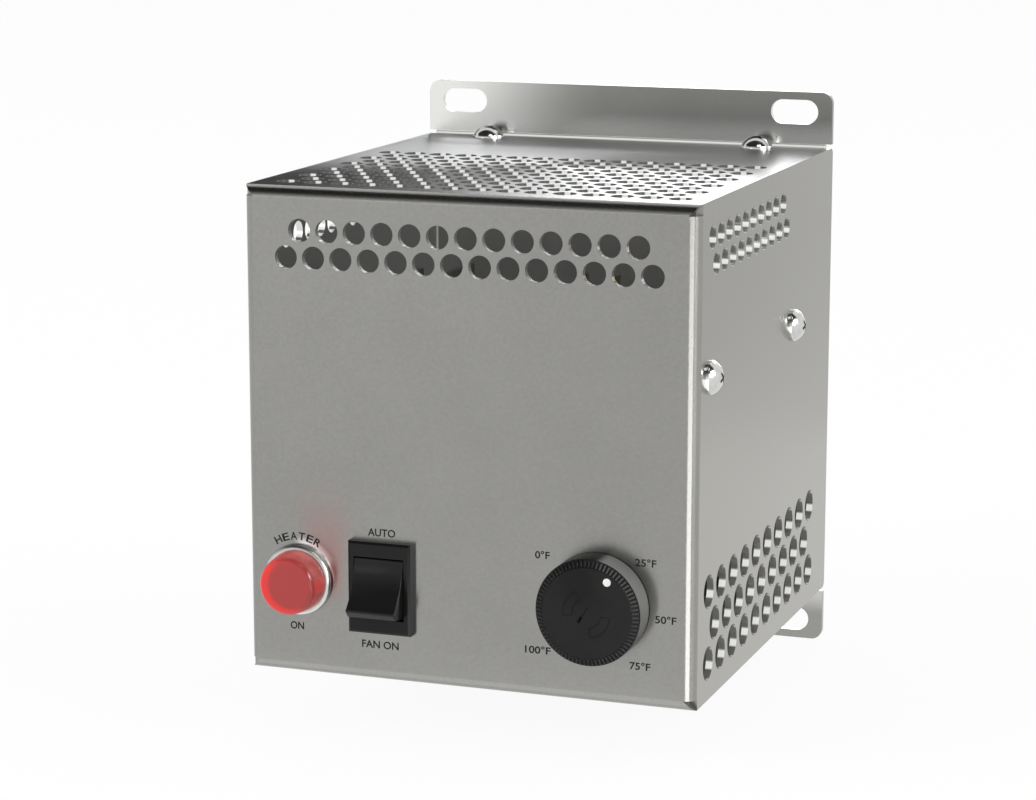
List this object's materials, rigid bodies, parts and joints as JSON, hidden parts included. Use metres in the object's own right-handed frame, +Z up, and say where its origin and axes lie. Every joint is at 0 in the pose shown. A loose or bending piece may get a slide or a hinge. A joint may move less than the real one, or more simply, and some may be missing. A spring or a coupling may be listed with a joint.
{
  "type": "enclosure heater",
  "caption": "Compact fan-forced enclosure heater: folded perforated steel box with slotted mounting flanges, a dial, a rocker switch and a red pilot lamp.",
  "frame": {"origin": "centre of the four mounting slots, on the plane of the flanges' back faces", "axes": "+Y points out of the back into the wall that the heater is bolted to, the front faces -Y, +X is right seen from the front, +Z is up"},
  "size_m": [0.1082, 0.1199, 0.1342],
  "materials": {
    "housing_steel": "satin stainless sheet with bright cut edges",
    "screw_chrome": "polished domed heads",
    "inner_sheet": "zinc-plated sheet",
    "zinc_hardware": "zinc plated",
    "fan_plastic": "moulded",
    "winding": "varnished copper wire",
    "heater_sheath": "heat-tinted sheath",
    "heater_fin": "plain fins",
    "bush_ceramic": "glazed ceramic",
    "moulded_black": "moulded insulation",
    "tab_brass": "plain",
    "knob_black": "satin",
    "pointer_white": "filled mark",
    "switch_black": "satin gloss",
    "lamp_chrome": "polished",
    "lens_red": "translucent red",
    "earth_green": "dyed screw"
  },
  "bodies": {
    "case": {"housing": "housing_steel", "back_plate": "housing_steel", "top_screws": "screw_chrome", "bottom_screws": "screw_chrome", "side_screws": "screw_chrome", "fan_shelf": "inner_sheet", "left_bracket": "inner_sheet", "right_bracket": "inner_sheet", "fan_screws": "zinc_hardware", "fan_nuts": "zinc_hardware", "limit_screws": "zinc_hardware", "control_nut": "zinc_hardware", "lamp_nut": "zinc_hardware", "heater_pins": "zinc_hardware", "fan_frame": "fan_plastic", "fan_stator": "winding", "heater_tube": "heater_sheath", "heater_fins": "heater_fin", "heater_bushes": "bush_ceramic", "limit_switch": "moulded_black", "control_body": "moulded_black", "lamp_core": "moulded_black", "terminal_block": "moulded_black", "entry_bushing": "moulded_black", "limit_tabs": "tab_brass", "control_tabs": "tab_brass", "switch_tabs": "tab_brass", "lamp_tabs": "tab_brass", "terminal_screws": "tab_brass", "switch_body": "switch_black", "lamp_bezel": "lamp_chrome", "lamp_lens": "lens_red", "ground_screw": "earth_green"},
    "knob": {"knob": "knob_black", "knob_dot": "pointer_white", "control_shaft": "zinc_hardware"},
    "rocker": {"rocker": "switch_black"},
    "rotor": {"fan_rotor": "fan_plastic", "fan_shaft": "zinc_hardware"}
  },
  "joints": [
    {"name": "knob_turn", "type": "hinge", "parent": "case", "child": "knob", "pos_m": [0.0296, -0.1124, -0.0323], "axis": [0, 1, 0], "range_deg": [-83, 200]},
    {"name": "rocker_tilt", "type": "hinge", "parent": "case", "child": "rocker", "pos_m": [-0.0195, -0.1129, -0.0326], "axis": [1, 0, 0], "range_deg": [0, 16]},
    {"name": "fan_spin", "type": "hinge", "parent": "case", "child": "rotor", "pos_m": [0, -0.06925, 0], "axis": [0, 0, 1], "continuous": true}
  ]
}
